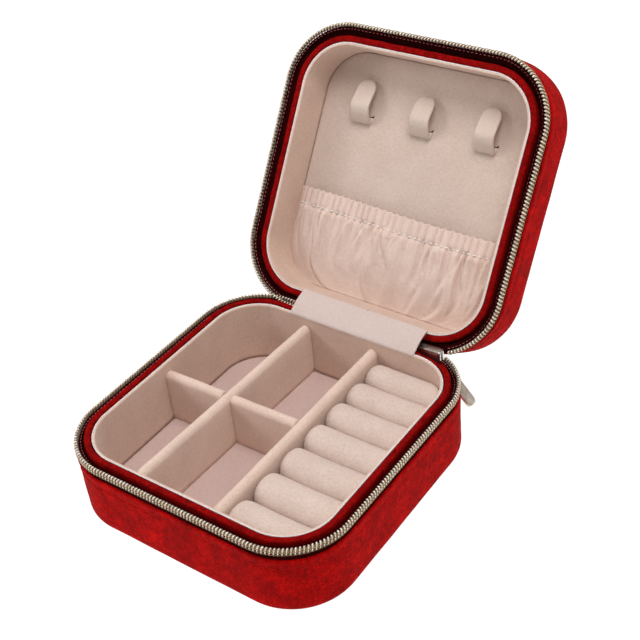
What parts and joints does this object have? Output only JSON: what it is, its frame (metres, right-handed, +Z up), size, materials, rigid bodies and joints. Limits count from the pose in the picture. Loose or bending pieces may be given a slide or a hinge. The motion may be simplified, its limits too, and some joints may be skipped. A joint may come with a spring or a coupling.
{
  "type": "travel jewelry case",
  "caption": "Small square zip-around jewelry case with velvet cover, divided padded base, ring rolls, hinged lid with hooks and gathered pocket.",
  "frame": {"origin": "centre of the base's flat bottom face, where the case stands", "axes": "+Z up, +X to the right seen from the front, +Y from the front towards the hinge; the lid stands open at rest"},
  "size_m": [0.1002, 0.1678, 0.1106],
  "materials": {
    "velvet": "crushed velvet with a soft sheen",
    "collar_velvet": "short-pile velvet",
    "board": "grey pulp board",
    "zip_tape": "woven polyester tape",
    "zip_coil": "metallised nylon coil",
    "suede": "microfibre suede",
    "floor_suede": "microfibre suede, pinker",
    "leatherette": "smooth matt leatherette",
    "foam": "open-cell foam",
    "pocket_cloth": "thin brushed lining cloth",
    "elastic": "woven elastic",
    "slider_metal": "polished plated zinc",
    "pull_metal": "satin champagne plate"
  },
  "bodies": {
    "base": {"base_cover": "velvet", "base_side_board": "board", "base_floor_board": "board", "base_collar": "collar_velvet", "base_zip_tape": "zip_tape", "base_zip_coil": "zip_coil", "base_lining": "suede", "base_floor_pad": "floor_suede", "divider_long": "suede", "divider_mid": "suede", "divider_cross": "suede", "ring_bed": "foam", "ring_roll_1": "suede", "ring_roll_2": "suede", "ring_roll_3": "suede", "ring_roll_4": "suede", "ring_roll_5": "suede", "ring_roll_6": "suede", "ring_roll_7": "suede", "spine_base": "velvet", "hinge_strap_base": "leatherette"},
    "lid": {"lid_cover": "velvet", "lid_side_board": "board", "lid_top_board": "board", "lid_collar": "collar_velvet", "lid_zip_tape": "zip_tape", "lid_zip_coil": "zip_coil", "lid_lining": "suede", "lid_panel": "suede", "hook_left": "leatherette", "hook_centre": "leatherette", "hook_right": "leatherette", "pocket_cloth": "pocket_cloth", "pocket_elastic": "elastic", "spine_lid": "velvet", "hinge_strap_lid": "leatherette"},
    "slider": {"slider_body": "slider_metal", "slider_pin": "slider_metal"},
    "pull": {"pull_tab": "pull_metal"}
  },
  "joints": [
    {"name": "lid_hinge", "type": "hinge", "parent": "base", "child": "lid", "pos_m": [0, 0.048, 0.028], "axis": [1, 0, 0], "range_deg": [0, 122.5]},
    {"name": "slider_play", "type": "slide", "parent": "base", "child": "slider", "axis": [1, 0, 0], "range_m": [-0.0065, 0.0015]},
    {"name": "pull_swing", "type": "hinge", "parent": "slider", "child": "pull", "pos_m": [0.03, 0.0505, 0.0211], "axis": [0, 1, 0], "range_deg": [-25, 105]}
  ]
}
